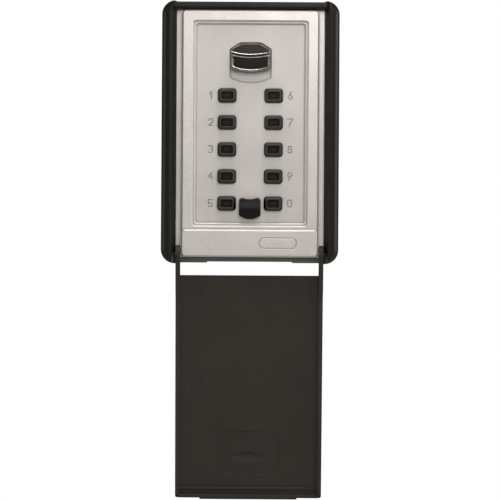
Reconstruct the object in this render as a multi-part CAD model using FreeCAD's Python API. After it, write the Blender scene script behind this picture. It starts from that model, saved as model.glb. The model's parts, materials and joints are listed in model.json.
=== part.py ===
import FreeCAD, Part
import math
import os

# Key lock box. Units mm. Origin: centre of the back face that lies on the wall.
# +Z up, +X right as seen from the front, the front faces -Y, the wall plane is y = 0.

V = FreeCAD.Vector

# ---- overall sizes ----
CASE_W = 80.0
CASE_H = 118.6
CASE_D = 48.0

# ---- named clearances ----
SEAT_GAP = 0.1          # between pieces that are fixed to each other
FREE_GAP = 0.3          # between pieces on different bodies
RUN_GAP = 0.05          # radial, pin in hole
DOOR_SIDE_GAP = 0.45    # door edge to flap arm
DOOR_END_GAP = 0.4      # door end to the surround
FLAP_SIDE_GAP = 0.15    # flap side to rail
FLAP_END_GAP = 0.3      # closed flap to the top bar
SLIDE_GAP = 0.2         # sliding pieces in their windows

# ---- surround ----
RAIL_W = 6.5
RAIL_DRAFT = 2.0        # how far the rail's inner face leans back to its crown
RAIL_DRAFT_D = 8.0
RAIL_CROWN_R = 0.9      # round on the rail's inner front edge
OUTER_CORNER_R = 6.3
OUTER_EDGE_R = 3.9
TOP_BAR_H = 3.2
TOP_BAR_DROP = 0.4      # bar stands this much under the rail ends
TOP_BAR_SET = 4.5       # bar front behind the rail front
TOP_BAR_R = 1.2
BOTTOM_BAND_H = 2.0
BOTTOM_BAND_DROP = 0.9
TAB_L = 11.6
TAB_H = 0.5
TAB_D = 8.0

# ---- housing ----
HOUSING_SKIN = 2.4      # surround wall round the housing
HOUSING_WALL = 2.6
BACK_WALL = 2.5
RIM_DEPTH = 36.5        # wall plane to the rim's front
RIM_T = 3.0
RIM_OPEN_SIDE = 4.8     # channel edge to rim opening
RIM_OPEN_END = 4.0
HOUSING_CORNER_R = 3.0
WALL_HOLE_R = 2.6
WALL_HOLE_DX = 40.0
WALL_HOLE_DZ = 64.0
WALL_BOSS_R = 6.0
WALL_BOSS_H = 1.2

# ---- door ----
DOOR_LIFT = 0.3         # door back to rim front
FRAME_T = 5.7
BLOCK_PROUD = 1.5
BLOCK_H = 12.2
DOOR_CORNER_R = 1.8
DOOR_BEVEL = 0.6
RECESS_SIDE = 5.1
RECESS_TOP = 5.1
RECESS_BOTTOM = 14.0
RECESS_LEDGE = 1.2      # width of the step round the recess
RECESS_LEDGE_D = 1.2
RECESS_BEVEL = 0.45
RECESS_D = 2.6
RECESS_R = 1.2
BLOCK_SHELL = 1.4
PLAQUE_X = 12.7
PLAQUE_W = 17.2
PLAQUE_H = 5.2
PLAQUE_D = 0.25
PLAQUE_RIM = 0.45

# ---- door hinge ----
HINGE_FORWARD = 4.0     # rim front to hinge axis
HINGE_RISE = 3.1        # door bottom to hinge axis
HINGE_PIN_R = 1.0
HINGE_EAR_R = 1.8
HINGE_EAR_W = 7.0
HINGE_EAR_X = 16.0
HINGE_RIB_T = 2.6
HINGE_HEEL_R = 3.6

# ---- keypad ----
BUTTON_W = 8.0
BUTTON_H = 6.0
BUTTON_R = 1.4
BUTTON_PROUD = 2.4
BUTTON_BEVEL = 0.9
BUTTON_DISH_W = 5.4
BUTTON_DISH_H = 3.5
BUTTON_DISH_D = 1.0
BUTTON_TRAVEL = 1.8
FLANGE_OVER = 0.5
FLANGE_T = 1.2
STEM_R = 1.1
STEM_L = 6.2
COLUMN_DX = 21.0
ROW_PITCH = 12.2
FIRST_ROW_DOWN = 38.6   # door top to the first row
SPRING_R = 1.7
SPRING_WIRE = 0.28
SPRING_TURNS = 5
SPRING_BORE_R = 2.2
SPRING_L = 7.0

# ---- engraved digits ----
DIGIT_DX = 35.8
DIGIT_STROKE = 0.55
DIGIT_D = 0.35
DIGIT_R = 0.85          # half width of the round digits, on the stroke's middle
DIGIT_WIDE = 1.1        # half width of 2 and 7
DIGIT_HALF = 1.6

# ---- open lever ----
LEVER_W = 17.4
LEVER_TOP_DOWN = 15.3   # door top to lever top
LEVER_H = 12.6
LEVER_FLAT = 8.6        # width of the flat top between the clipped corners
LEVER_CLIP = 2.7        # height of the clipped corners
LEVER_PROUD = 5.0
LEVER_TRAVEL = 3.8
LEVER_SAG = 1.45         # how far the lower edge bows down in the middle
LEVER_SET = 1.0         # top of the slope in front of the recess floor
RIDGE_DOWN = 4.9       # lever top to the middle of the ridge's upper edge
RIDGE_T = 1.4
RIDGE_SAG = 1.2
RIDGE_STEP = 0.9        # ridge in front of the faces above and below it
LEVER_FRAME = 0.7       # border round the lower panel
LEVER_PANEL_D = 0.6
POCKET_GAP = 0.55
POCKET_SAG = 2.3
POCKET_D = 1.8
POCKET_BEVEL = 0.3
STEM_W = 5.0
STEM_H = 4.0
BOLT_W = 10.0
BOLT_T = 3.0
BOLT_BITE = 1.6         # bolt past the edge of the rim
BOLT_TAIL = 3.0
LEVER_SPRING_L = 8.4

# ---- reset slide ----
RESET_W = 9.6
RESET_H = 9.4
RESET_DOWN = 89.6       # door top to the slide's centre
RESET_PROUD = 3.2
RESET_CROWN_R = 9.0     # curve of the slide's front from top to bottom
RESET_TRAVEL = 1.6
RESET_STEM_W = 3.6
RESET_STEM_H = 3.6
RESET_FLANGE = 1.2
RESET_SPRING_L = 6.0

# ---- mechanism ----
MECH_W = 53.0
MECH_T = 13.6
MECH_TOP_DOWN = 8.6
MECH_BOTTOM_UP = 12.6
MECH_R = 2.0
COVER_T = 1.2
SCREW_R = 1.25
SCREW_HEAD_R = 2.4
SCREW_HEAD_T = 1.4
SCREW_INSET = 3.4
SCREW_SLOT_W = 0.6

# ---- weather flap ----
PIVOT_RISE = 0.8        # door bottom to pivot
FLAP_PIN_R = 1.25
FLAP_PIN_EMBED = 3.2
ARM_T = 2.0
ARM_R = 4.3
ARM_FOOT = 12.0         # how far the arm runs down the panel
PANEL_T = 2.0
FLAP_SET = 0.5          # closed flap front behind the rail front
SLOT_DROP = 9.3         # pivot to the slot edge
SIDE_RIM_T = 2.0
SIDE_RIM_D = 5.0
END_RIM_T = 1.6
END_RIM_D = 3.0
END_RIB_UP = 3.9
END_RIB_T = 0.9
LIP_HALF = 22.0
LIP_L = 0.7
FLAP_CORNER_R = 1.4
FLAP_DRAFT = 0.35       # each side leans in this much towards the lip
LEVER_POCKET_W = 27.4
LEVER_POCKET_H = 19.4
LEVER_POCKET_D = 0.25
LEVER_POCKET_UP = 10.6
SCOOP_UP = 20.6         # flap end to the top of the finger scoop
SCOOP_TOP_R = 16.0
SCOOP_LOW_R = 13.5
SCOOP_H = 5.0
SCOOP_BALL_R = 62.0
EJECTOR_R = 3.6
EJECTOR_D = 0.15
EJECTOR_DX = 24.5
EJECTOR_TOP = 8.5       # slot edge to the upper row
EJECTOR_MID = 49.5
EJECTOR_LOW = 89.0

# ---- derived places ----
HALF_W = CASE_W / 2
HALF_H = CASE_H / 2
FRONT = -CASE_D
CHANNEL = HALF_W - RAIL_W
BAR_TOP = HALF_H - TOP_BAR_DROP
BAR_LOW = BAR_TOP - TOP_BAR_H
BAND_LOW = -HALF_H + BOTTOM_BAND_DROP
BAND_TOP = BAND_LOW + BOTTOM_BAND_H
RIM_Y = -RIM_DEPTH
HOUSING_X = HALF_W - HOUSING_SKIN
RIM_X = CHANNEL - RIM_OPEN_SIDE
FLAP_X = CHANNEL - FLAP_SIDE_GAP
ARM_IN = FLAP_X - ARM_T
DOOR_X = ARM_IN - DOOR_SIDE_GAP
DOOR_TOP = BAR_LOW - DOOR_END_GAP
DOOR_LOW = BAND_TOP + FREE_GAP
DOOR_BACK = RIM_Y - DOOR_LIFT
FACE_Y = DOOR_BACK - FRAME_T
BLOCK_Y = FACE_Y - BLOCK_PROUD
BLOCK_TOP = DOOR_LOW + BLOCK_H
FLOOR_Y = FACE_Y + RECESS_D
HINGE_Y = RIM_Y - HINGE_FORWARD
HINGE_Z = DOOR_LOW + HINGE_RISE
RIM_TOP = DOOR_TOP - RIM_OPEN_END
RIM_LOW = DOOR_LOW + RIM_OPEN_END + RIM_T
ROWS = [DOOR_TOP - FIRST_ROW_DOWN - ROW_PITCH * n for n in range(5)]
COLS = (-COLUMN_DX / 2, COLUMN_DX / 2)
LEVER_TOP = DOOR_TOP - LEVER_TOP_DOWN
LEVER_LOW = LEVER_TOP - LEVER_H
POCKET_Y = FLOOR_Y + POCKET_D
RESET_Z = DOOR_TOP - RESET_DOWN
MECH_TOP = DOOR_TOP - MECH_TOP_DOWN
MECH_LOW = DOOR_LOW + MECH_BOTTOM_UP
MECH_FRONT = DOOR_BACK + SEAT_GAP
MECH_BACK = MECH_FRONT + MECH_T
COVER_FRONT = MECH_BACK + SEAT_GAP
COVER_BACK = COVER_FRONT + COVER_T
PIVOT_Y = RIM_Y - ARM_R - FREE_GAP
PIVOT_Z = DOOR_LOW + PIVOT_RISE
FLAP_OUT = 2 * PIVOT_Y - (FRONT + FLAP_SET)
FLAP_IN = FLAP_OUT - PANEL_T
FLAP_TOP = PIVOT_Z - SLOT_DROP
FLAP_LIP = 2 * PIVOT_Z - (BAR_LOW - FLAP_END_GAP)
FLAP_LOW = FLAP_LIP + LIP_L


def box(x0, x1, y0, y1, z0, z1):
    """A block between two corners."""
    size = (x1 - x0, y1 - y0, z1 - z0)
    return Part.makeBox(*size, V(x0, y0, z0))


def cyl_y(x, z, r, y0, y1):
    """A round bar along Y."""
    return Part.makeCylinder(r, y1 - y0, V(x, y0, z), V(0, 1, 0))


def cyl_x(y, z, r, x0, x1):
    """A round bar along X."""
    return Part.makeCylinder(r, x1 - x0, V(x0, y, z), V(1, 0, 0))


def prism_y(points, y0, y1):
    """An XZ outline carried along Y."""
    wire = Part.makePolygon([V(x, y0, z) for x, z in points + points[:1]])
    return Part.Face(wire).extrude(V(0, y1 - y0, 0))


def prism_x(points, x0, x1):
    """A YZ outline carried along X."""
    wire = Part.makePolygon([V(x0, y, z) for y, z in points + points[:1]])
    return Part.Face(wire).extrude(V(x1 - x0, 0, 0))


def prism_z(points, z0, z1):
    """An XY outline carried along Z."""
    wire = Part.makePolygon([V(x, y, z0) for x, y in points + points[:1]])
    return Part.Face(wire).extrude(V(0, 0, z1 - z0))


def slab(x0, x1, z0, z1, r, y0, y1):
    """A plate with rounded corners in XZ, y0 to y1 thick."""
    plate = box(x0, x1, y0, y1, z0, z1)
    posts = [e for e in plate.Edges if along(e, 1)]
    return plate.makeFillet(r, posts) if r > 0 else plate


def along(edge, axis):
    """True for a straight edge along X, Y or Z (0, 1 or 2)."""
    if len(edge.Vertexes) != 2:
        return False
    d = edge.Vertexes[1].Point - edge.Vertexes[0].Point
    rest = [abs(c) for k, c in enumerate(d) if k != axis]
    return abs(d[axis]) > 1e-6 and max(rest) < 1e-6


def on_plane(shape, axis, value):
    """The edges that lie in one plane across X, Y or Z."""
    found = []
    for edge in shape.Edges:
        b = edge.BoundBox
        low, high = ((b.XMin, b.XMax), (b.YMin, b.YMax), (b.ZMin, b.ZMax))[axis]
        if abs(low - value) < 1e-4 and abs(high - value) < 1e-4:
            found.append(edge)
    return found


def arch(half, z_end, z_mid, z_top, y0, y1):
    """A flat-topped outline whose lower edge bows down in the middle."""
    arc = Part.Arc(V(half, y0, z_end), V(0, y0, z_mid), V(-half, y0, z_end)).toShape()
    side = Part.makePolygon([V(-half, y0, z_end), V(-half, y0, z_top),
                             V(half, y0, z_top), V(half, y0, z_end)])
    face = Part.Face(Part.Wire(side.Edges + [arc]))
    return face.extrude(V(0, y1 - y0, 0))


def bow(half, z_end, z_mid, thick, y0, y1):
    """A band of one thickness whose two edges bow down in the middle."""
    low = Part.Arc(V(-half, y0, z_end), V(0, y0, z_mid), V(half, y0, z_end)).toShape()
    high = Part.Arc(V(-half, y0, z_end + thick), V(0, y0, z_mid + thick),
                    V(half, y0, z_end + thick)).toShape()
    ends = [Part.makeLine(V(s * half, y0, z_end), V(s * half, y0, z_end + thick))
            for s in (-1, 1)]
    wire = Part.Wire(Part.__sortEdges__([low, high] + ends))
    return Part.Face(wire).extrude(V(0, y1 - y0, 0))


def coil(radius, wire_r, length, turns):
    """A round-wire coil from z = 0 to z = length."""
    rise = length - 2 * wire_r
    helix = Part.makeHelix(rise / turns, rise, radius)
    helix.translate(V(0, 0, wire_r))
    ring = Part.Wire(Part.makeCircle(wire_r, V(radius, 0, wire_r), V(0, 1, 0)))
    return Part.Wire(helix.Edges).makePipeShell([ring], True, True)


def turned(shape, axis, angle, move):
    """A copy turned about an axis through the origin, then moved."""
    copy = shape.copy()
    copy.rotate(V(0, 0, 0), axis, angle)
    copy.translate(move)
    return copy


def solids(shapes):
    """Several separate solids as one shape."""
    return Part.makeCompound(shapes)


def window(half, top, low_end, low_mid, flat, clip, y0, y1):
    """The open lever's outline: clipped top corners, bowed lower edge."""
    body = arch(half, low_end, low_mid, top, y0, y1)
    for side in (-1, 1):
        corner = [(side * flat, top + 1), (side * (half + 1), top + 1),
                  (side * (half + 1), top - clip), (side * half, top - clip),
                  (side * flat, top)]
        body = body.cut(prism_y(corner, y0 - 1, y1 + 1))
    return body


# ---------------------------------------------------------------- digits
def stroke(x, z, a, b):
    """A straight groove with round ends."""
    y0, y1 = FLOOR_Y - 1, FLOOR_Y + DIGIT_D
    w = DIGIT_STROKE / 2
    dx, dz = b[0] - a[0], b[1] - a[1]
    n = math.hypot(dx, dz)
    ox, oz = -dz / n * w, dx / n * w
    body = prism_y([(x + a[0] + ox, z + a[1] + oz), (x + b[0] + ox, z + b[1] + oz),
                    (x + b[0] - ox, z + b[1] - oz), (x + a[0] - ox, z + a[1] - oz)],
                   y0, y1)
    return body.multiFuse([cyl_y(x + p[0], z + p[1], w, y0, y1) for p in (a, b)])


def sweep(x, z, centre, r, start, end):
    """A curved groove with round ends, degrees counter-clockwise from +X."""
    y0, y1 = FLOOR_Y - 1, FLOOR_Y + DIGIT_D
    w = DIGIT_STROKE / 2
    cx, cz = x + centre[0], z + centre[1]
    if end - start >= 360:
        return cyl_y(cx, cz, r + w, y0, y1).cut(cyl_y(cx, cz, r - w, y0 - 1, y1 + 1))

    def at(radius, angle):
        t = math.radians(angle)
        return V(cx + radius * math.cos(t), y0, cz + radius * math.sin(t))

    mid = (start + end) / 2
    outer = Part.Arc(at(r + w, start), at(r + w, mid), at(r + w, end)).toShape()
    inner = Part.Arc(at(r - w, start), at(r - w, mid), at(r - w, end)).toShape()
    caps = [Part.makeLine(at(r - w, t), at(r + w, t)) for t in (start, end)]
    wire = Part.Wire(Part.__sortEdges__([outer, inner] + caps))
    body = Part.Face(wire).extrude(V(0, y1 - y0, 0))
    ends = [cyl_y(at(r, t).x, at(r, t).z, w, y0, y1) for t in (start, end)]
    return body.multiFuse(ends)


def digit(name, x, z):
    """The cutter for one digit centred on x, z."""
    r, h, w = DIGIT_R, DIGIT_HALF, DIGIT_WIDE
    up, down = h - r, r - h
    lines = {
        "0": [((-r, down), (-r, up)), ((r, down), (r, up))],
        "1": [((0.2, -h), (0.2, h)), ((0.2 - r, h - r), (0.2, h))],
        "2": [((w * 0.6, 0), (-w, -h)), ((-w, -h), (w, -h))],
        "4": [((r / 2, -h), (r / 2, h)), ((r / 2, h), (-w, -h / 3)), ((-w, -h / 3), (w, -h / 3))],
        "5": [((r, h), (-r, h)), ((-r, h), (-r, r - h + r * 0.6))],
        "6": [((-r, down), (r / 2, h))],
        "7": [((-w, h), (w, h)), ((w, h), (-r / 2, -h))],
        "9": [((r, up), (-r / 2, -h))],
    }
    arcs = {
        "0": [((0, up), r, 0, 180), ((0, down), r, 180, 360)],
        "2": [((0, up), r, -25, 170)],
        "3": [((0, h / 2), h / 2, -90, 150), ((0, -h / 2), h / 2, -150, 90)],
        "5": [((0, down), r, -150, 130)],
        "6": [((0, down), r, 0, 360)],
        "8": [((0, h / 2), h / 2, 0, 360), ((0, -h / 2), h / 2, 0, 360)],
        "9": [((0, up), r, 0, 360)],
    }
    bits = [stroke(x, z, a, b) for a, b in lines.get(name, [])]
    bits += [sweep(x, z, *arc) for arc in arcs.get(name, [])]
    return bits


# ---------------------------------------------------------------- case
def rounded(a, b, c, r):
    """The arc of radius r that rounds the corner b between a and c."""
    u, v = (a - b).normalize(), (c - b).normalize()
    half = u.getAngle(v) / 2
    reach, far = r / math.tan(half), r / math.sin(half)
    way = (u + v).normalize()
    return Part.Arc(b + u * reach, b + way * (far - r), b + v * reach)


def channel_room():
    """The space between the rails; their inner faces lean back to a round crown."""
    z = -HALF_H - 1
    sides = []
    for s in (-1, 1):
        foot = V(s * CHANNEL, RIM_Y, z)
        bend = V(s * CHANNEL, FRONT + RAIL_DRAFT_D, z)
        crown = V(s * (CHANNEL + RAIL_DRAFT), FRONT, z)
        arc = rounded(bend, crown, crown + V(s, 0, 0), RAIL_CROWN_R)
        out = arc.EndPoint + V(s * 0.3, -1, 0)
        sides.append((foot, out, [Part.makeLine(foot, bend),
                                  Part.makeLine(bend, arc.StartPoint),
                                  arc.toShape(), Part.makeLine(arc.EndPoint, out)]))
    (foot_a, out_a, left), (foot_b, out_b, right) = sides
    edges = left + right + [Part.makeLine(foot_a, foot_b), Part.makeLine(out_a, out_b)]
    wire = Part.Wire(Part.__sortEdges__(edges))
    return Part.Face(wire).extrude(V(0, 0, CASE_H + 2))


def make_surround():
    """The black jacket: two rails, top bar, bottom band and side skins."""
    body = slab(-HALF_W, HALF_W, -HALF_H, HALF_H, OUTER_CORNER_R, FRONT, -0.5)
    body = body.makeFillet(OUTER_EDGE_R, on_plane(body, 1, FRONT))
    body = body.cut(channel_room())
    bar = box(-CHANNEL - RAIL_DRAFT, CHANNEL + RAIL_DRAFT, FRONT + TOP_BAR_SET, RIM_Y + 1,
              BAR_LOW, BAR_TOP)
    front = [e for e in on_plane(bar, 1, FRONT + TOP_BAR_SET) if along(e, 0)]
    bar = bar.makeFillet(TOP_BAR_R, front)
    body = body.fuse(bar)
    body = body.cut(box(-CHANNEL, CHANNEL, RIM_Y, 0, BAR_TOP, HALF_H + 1))
    body = body.cut(box(-CHANNEL, CHANNEL, FRONT, 0, -HALF_H - 1, BAND_LOW))
    body = body.cut(slab(-HOUSING_X - SEAT_GAP, HOUSING_X + SEAT_GAP, BAND_TOP, BAR_LOW,
                         HOUSING_CORNER_R, RIM_Y - SEAT_GAP, 0))
    for s in (-1, 1):
        a, b = sorted((s * (DOOR_X - TAB_L), s * (CHANNEL + 1)))
        body = body.fuse(box(a, b, RIM_Y, RIM_Y + TAB_D, BAND_LOW - TAB_H, BAND_LOW))
    for s in (-1, 1):
        a, b = sorted((s * (CHANNEL - 1), s * (CHANNEL + FLAP_PIN_EMBED)))
        body = body.cut(cyl_x(PIVOT_Y, PIVOT_Z, FLAP_PIN_R, a, b))
    return body.removeSplitter()


def make_housing():
    """The zinc box: back wall, sides, front rim and the door's hinge ears."""
    low, top = BAND_TOP + SEAT_GAP, BAR_LOW - SEAT_GAP
    body = slab(-HOUSING_X, HOUSING_X, low, top, HOUSING_CORNER_R, RIM_Y, 0)
    inner = HOUSING_X - HOUSING_WALL
    body = body.cut(slab(-inner, inner, low + HOUSING_WALL, top - HOUSING_WALL, 1.5,
                         RIM_Y + RIM_T, -BACK_WALL))
    body = body.cut(slab(-RIM_X, RIM_X, RIM_LOW, RIM_TOP, 2.0, RIM_Y - 1, RIM_Y + RIM_T + 0.5))
    holes = []
    for x in (-WALL_HOLE_DX / 2, WALL_HOLE_DX / 2):
        for z in (-WALL_HOLE_DZ / 2, WALL_HOLE_DZ / 2):
            body = body.fuse(cyl_y(x, z, WALL_BOSS_R, -BACK_WALL - WALL_BOSS_H, -1))
            holes.append(cyl_y(x, z, WALL_HOLE_R, -BACK_WALL - WALL_BOSS_H - 1, 1))
    for x in (-HINGE_EAR_X, HINGE_EAR_X):
        a, b = x - HINGE_EAR_W / 2, x + HINGE_EAR_W / 2
        ear = cyl_x(HINGE_Y, HINGE_Z, HINGE_EAR_R, a, b)
        neck = box(a, b, HINGE_Y, RIM_Y + 1, HINGE_Z - HINGE_EAR_R, HINGE_Z + HINGE_EAR_R)
        body = body.fuse(ear.fuse(neck))
        holes.append(cyl_x(HINGE_Y, HINGE_Z, HINGE_PIN_R, a - 1, b + 1))
    for hole in holes:
        body = body.cut(hole)
    return body.removeSplitter()


def make_door_hinge_pins():
    """A steel pin through each hinge ear."""
    reach = HINGE_EAR_W / 2 + FREE_GAP + HINGE_RIB_T
    return solids([cyl_x(HINGE_Y, HINGE_Z, HINGE_PIN_R, x - reach, x + reach)
                   for x in (-HINGE_EAR_X, HINGE_EAR_X)])


def make_flap_hinge_pins():
    """A steel pin from each rail into the flap's arm."""
    pins = []
    for s in (-1, 1):
        a, b = sorted((s * (ARM_IN + 0.1), s * (CHANNEL + FLAP_PIN_EMBED)))
        pins.append(cyl_x(PIVOT_Y, PIVOT_Z, FLAP_PIN_R, a, b))
    return solids(pins)


# ---------------------------------------------------------------- flap
def finger_scoop(top):
    """A lens-shaped hollow, deepest under its upper edge, that runs out below."""
    low = top - SCOOP_H
    floor = FLAP_IN + LEVER_POCKET_D
    rise = math.sqrt(SCOOP_BALL_R ** 2 - SCOOP_LOW_R ** 2)
    ball = Part.makeSphere(SCOOP_BALL_R, V(0, floor - rise, low + SCOOP_LOW_R))
    return ball.common(cyl_y(0, top - SCOOP_TOP_R, SCOOP_TOP_R, FLAP_IN - 1, FLAP_OUT))


def make_weather_flap():
    """The black cover in its open, hanging place."""
    inner_x = FLAP_X - SIDE_RIM_T
    body = slab(-FLAP_X, FLAP_X, FLAP_LOW, FLAP_TOP, FLAP_CORNER_R, FLAP_IN, FLAP_OUT)
    lip = slab(-LIP_HALF, LIP_HALF, FLAP_LIP, FLAP_LOW + 3, 0.3, FLAP_IN, FLAP_OUT)
    bits = [lip]
    for s in (-1, 1):
        a, b = sorted((s * inner_x, s * FLAP_X))
        bits.append(box(a, b, FLAP_OUT - SIDE_RIM_D, FLAP_IN, FLAP_LOW + FLAP_CORNER_R,
                        FLAP_TOP))
        a, b = sorted((s * ARM_IN, s * FLAP_X))
        arm = prism_x([(PIVOT_Y - ARM_R, PIVOT_Z), (PIVOT_Y + ARM_R, PIVOT_Z),
                       (PIVOT_Y + ARM_R, BAND_LOW - TAB_H - FREE_GAP), (FLAP_OUT, FLAP_TOP),
                       (FLAP_OUT, FLAP_TOP - ARM_FOOT),
                       (FLAP_OUT - SIDE_RIM_D, FLAP_TOP - ARM_FOOT)], a, b)
        bits.append(arm)
        bits.append(cyl_x(PIVOT_Y, PIVOT_Z, ARM_R, a, b))
    end_in = FLAP_OUT - END_RIM_D
    bits.append(box(-inner_x, inner_x, end_in, FLAP_IN, FLAP_LOW, FLAP_LOW + END_RIM_T))
    rib = FLAP_LOW + END_RIB_UP
    bits.append(box(-inner_x, inner_x, end_in, FLAP_IN, rib, rib + END_RIB_T))
    body = body.multiFuse(bits).removeSplitter()
    z0 = FLAP_LOW + LEVER_POCKET_UP
    half = LEVER_POCKET_W / 2
    body = body.cut(slab(-half, half, z0, z0 + LEVER_POCKET_H, 2.0, FLAP_IN - 1,
                         FLAP_IN + LEVER_POCKET_D))
    body = body.cut(finger_scoop(FLAP_LOW + SCOOP_UP))
    marks = [(s * EJECTOR_DX, FLAP_TOP - down) for s in (-1, 1)
             for down in (EJECTOR_TOP, EJECTOR_MID, EJECTOR_LOW)]
    for x, z in marks + [(0, FLAP_TOP - EJECTOR_TOP)]:
        body = body.cut(cyl_y(x, z, EJECTOR_R, FLAP_IN - 1, FLAP_IN + EJECTOR_D))
    for s in (-1, 1):
        a, b = sorted((s * (ARM_IN - 1), s * (FLAP_X + 1)))
        body = body.cut(cyl_x(PIVOT_Y, PIVOT_Z, FLAP_PIN_R + RUN_GAP, a, b))
        lean = [(s * FLAP_X, FLAP_TOP), (s * (FLAP_X - FLAP_DRAFT), FLAP_LIP - 1),
                (s * (FLAP_X + 1), FLAP_LIP - 1), (s * (FLAP_X + 1), FLAP_TOP)]
        body = body.cut(prism_y(lean, FLAP_OUT - SIDE_RIM_D - 1, FLAP_OUT + 1))
    return body.removeSplitter()


# ---------------------------------------------------------------- door
def button_hole(x, z, grow, y0, y1):
    """A button's outline, grown by a clearance."""
    w, h = BUTTON_W / 2 + grow, BUTTON_H / 2 + grow
    return slab(x - w, x + w, z - h, z + h, BUTTON_R, y0, y1)


def sunk(x, z0, z1, mouth, floor):
    """A rounded pocket whose mouth has a bevelled edge."""
    b = RECESS_BEVEL
    well = slab(-x, x, z0, z1, RECESS_R, mouth - 1, floor)
    lead = slab(-x - b, x + b, z0 - b, z1 + b, RECESS_R + b, mouth - 1, mouth + b)
    return well.fuse(lead.makeChamfer(b, on_plane(lead, 1, mouth + b)))


def lever_pocket():
    """The well round the open lever, with a bevelled mouth."""
    low_end = LEVER_LOW + LEVER_SAG - LEVER_TRAVEL - SLIDE_GAP
    shapes = []
    for grow, y in ((0, POCKET_Y), (POCKET_BEVEL, FLOOR_Y + POCKET_BEVEL)):
        gap = POCKET_GAP + grow
        shapes.append(window(LEVER_W / 2 + gap, LEVER_TOP + gap, low_end - grow,
                             low_end - POCKET_SAG - grow, LEVER_FLAT / 2 + gap / 2,
                             LEVER_CLIP + gap / 2, FLOOR_Y - 1, y))
    well, lead = shapes
    edges = on_plane(lead, 1, FLOOR_Y + POCKET_BEVEL)
    return well.fuse(lead.makeChamfer(POCKET_BEVEL, edges))


def make_door_cover():
    """The silver faceplate with its recess, windows, digits and hinge ribs."""
    body = slab(-DOOR_X, DOOR_X, DOOR_LOW, DOOR_TOP, DOOR_CORNER_R, FACE_Y, DOOR_BACK)
    body = body.makeChamfer(DOOR_BEVEL, on_plane(body, 1, FACE_Y))
    block = slab(-DOOR_X, DOOR_X, DOOR_LOW, BLOCK_TOP, DOOR_CORNER_R, BLOCK_Y, DOOR_BACK)
    block = block.makeChamfer(DOOR_BEVEL, on_plane(block, 1, BLOCK_Y))
    body = body.fuse(block).removeSplitter()
    shell = DOOR_X - BLOCK_SHELL
    body = body.cut(box(-shell, shell, BLOCK_Y + BLOCK_SHELL, DOOR_BACK + 1,
                        DOOR_LOW + BLOCK_SHELL * 0.6, BLOCK_TOP - BLOCK_SHELL))
    ledge = FACE_Y + RECESS_LEDGE_D
    for inset, mouth, floor in ((0, FACE_Y, ledge), (RECESS_LEDGE, ledge, FLOOR_Y)):
        body = body.cut(sunk(DOOR_X - RECESS_SIDE - inset, DOOR_LOW + RECESS_BOTTOM + inset,
                             DOOR_TOP - RECESS_TOP - inset, mouth, floor))
    w, h = PLAQUE_W / 2, PLAQUE_H / 2
    px, pz = PLAQUE_X, (DOOR_LOW + BLOCK_TOP) / 2
    ring = slab(px - w, px + w, pz - h, pz + h, h * 0.95, BLOCK_Y - 1, BLOCK_Y + PLAQUE_D)
    w, h = w - PLAQUE_RIM, h - PLAQUE_RIM
    ring = ring.cut(slab(px - w, px + w, pz - h, pz + h, h * 0.95, BLOCK_Y - 2, BLOCK_Y + 1))
    body = body.cut(ring)
    deep = DOOR_BACK + 1
    for cx in COLS:
        for cz in ROWS:
            body = body.cut(button_hole(cx, cz, SLIDE_GAP, FLOOR_Y - 1, deep))
    body = body.cut(lever_pocket())
    z = LEVER_TOP - LEVER_H / 2
    w = STEM_W / 2 + SLIDE_GAP
    body = body.cut(box(-w, w, FLOOR_Y, deep, z - STEM_H / 2 - LEVER_TRAVEL - FREE_GAP,
                        z + STEM_H / 2 + SLIDE_GAP))
    w = RESET_STEM_W / 2 + SLIDE_GAP
    body = body.cut(box(-w, w, FLOOR_Y - 1, deep,
                        RESET_Z - RESET_STEM_H / 2 - RESET_TRAVEL - FREE_GAP,
                        RESET_Z + RESET_STEM_H / 2 + SLIDE_GAP))
    for sx, sz in screw_places():
        body = body.cut(cyl_y(sx, sz, SCREW_R, FLOOR_Y + 1.0, deep))
    names = ("1", "2", "3", "4", "5"), ("6", "7", "8", "9", "0")
    for s, column in zip((-1, 1), names):
        for z, name in zip(ROWS, column):
            for groove in digit(name, s * DIGIT_DX / 2, z):
                body = body.cut(groove)
    ribs = []
    for ear in (-HINGE_EAR_X, HINGE_EAR_X):
        gap = HINGE_EAR_W / 2 + FREE_GAP
        body = body.cut(box(ear - gap, ear + gap, BLOCK_Y + BLOCK_SHELL, deep, DOOR_LOW - 1,
                            DOOR_LOW + BLOCK_SHELL * 2))
        for s in (-1, 1):
            a, b = sorted((ear + s * gap, ear + s * (gap + HINGE_RIB_T)))
            web = box(a, b, BLOCK_Y + 1, HINGE_Y, DOOR_LOW + 0.5, HINGE_Z + HINGE_EAR_R)
            ribs.append(web.fuse(cyl_x(HINGE_Y, HINGE_Z, HINGE_EAR_R, a, b)))
    body = body.multiFuse(ribs)
    for ear in (-HINGE_EAR_X, HINGE_EAR_X):
        reach = HINGE_EAR_W / 2 + FREE_GAP + HINGE_RIB_T + FREE_GAP
        body = body.cut(cyl_x(HINGE_Y, HINGE_Z, HINGE_PIN_R + RUN_GAP, ear - reach, ear + reach))
    heel = box(-DOOR_X - 1, DOOR_X + 1, HINGE_Y, DOOR_BACK + 1, DOOR_LOW - 1, HINGE_Z)
    heel = heel.cut(cyl_x(HINGE_Y, HINGE_Z, HINGE_HEEL_R, -DOOR_X - 1, DOOR_X + 1))
    return body.cut(heel).removeSplitter()


def screw_places():
    """The four screw positions that hold the mechanism to the cover."""
    x = MECH_W / 2 - SCREW_INSET
    return [(sx * x, z) for sx in (-1, 1)
            for z in (MECH_TOP - SCREW_INSET, MECH_LOW + SCREW_INSET)]


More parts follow.
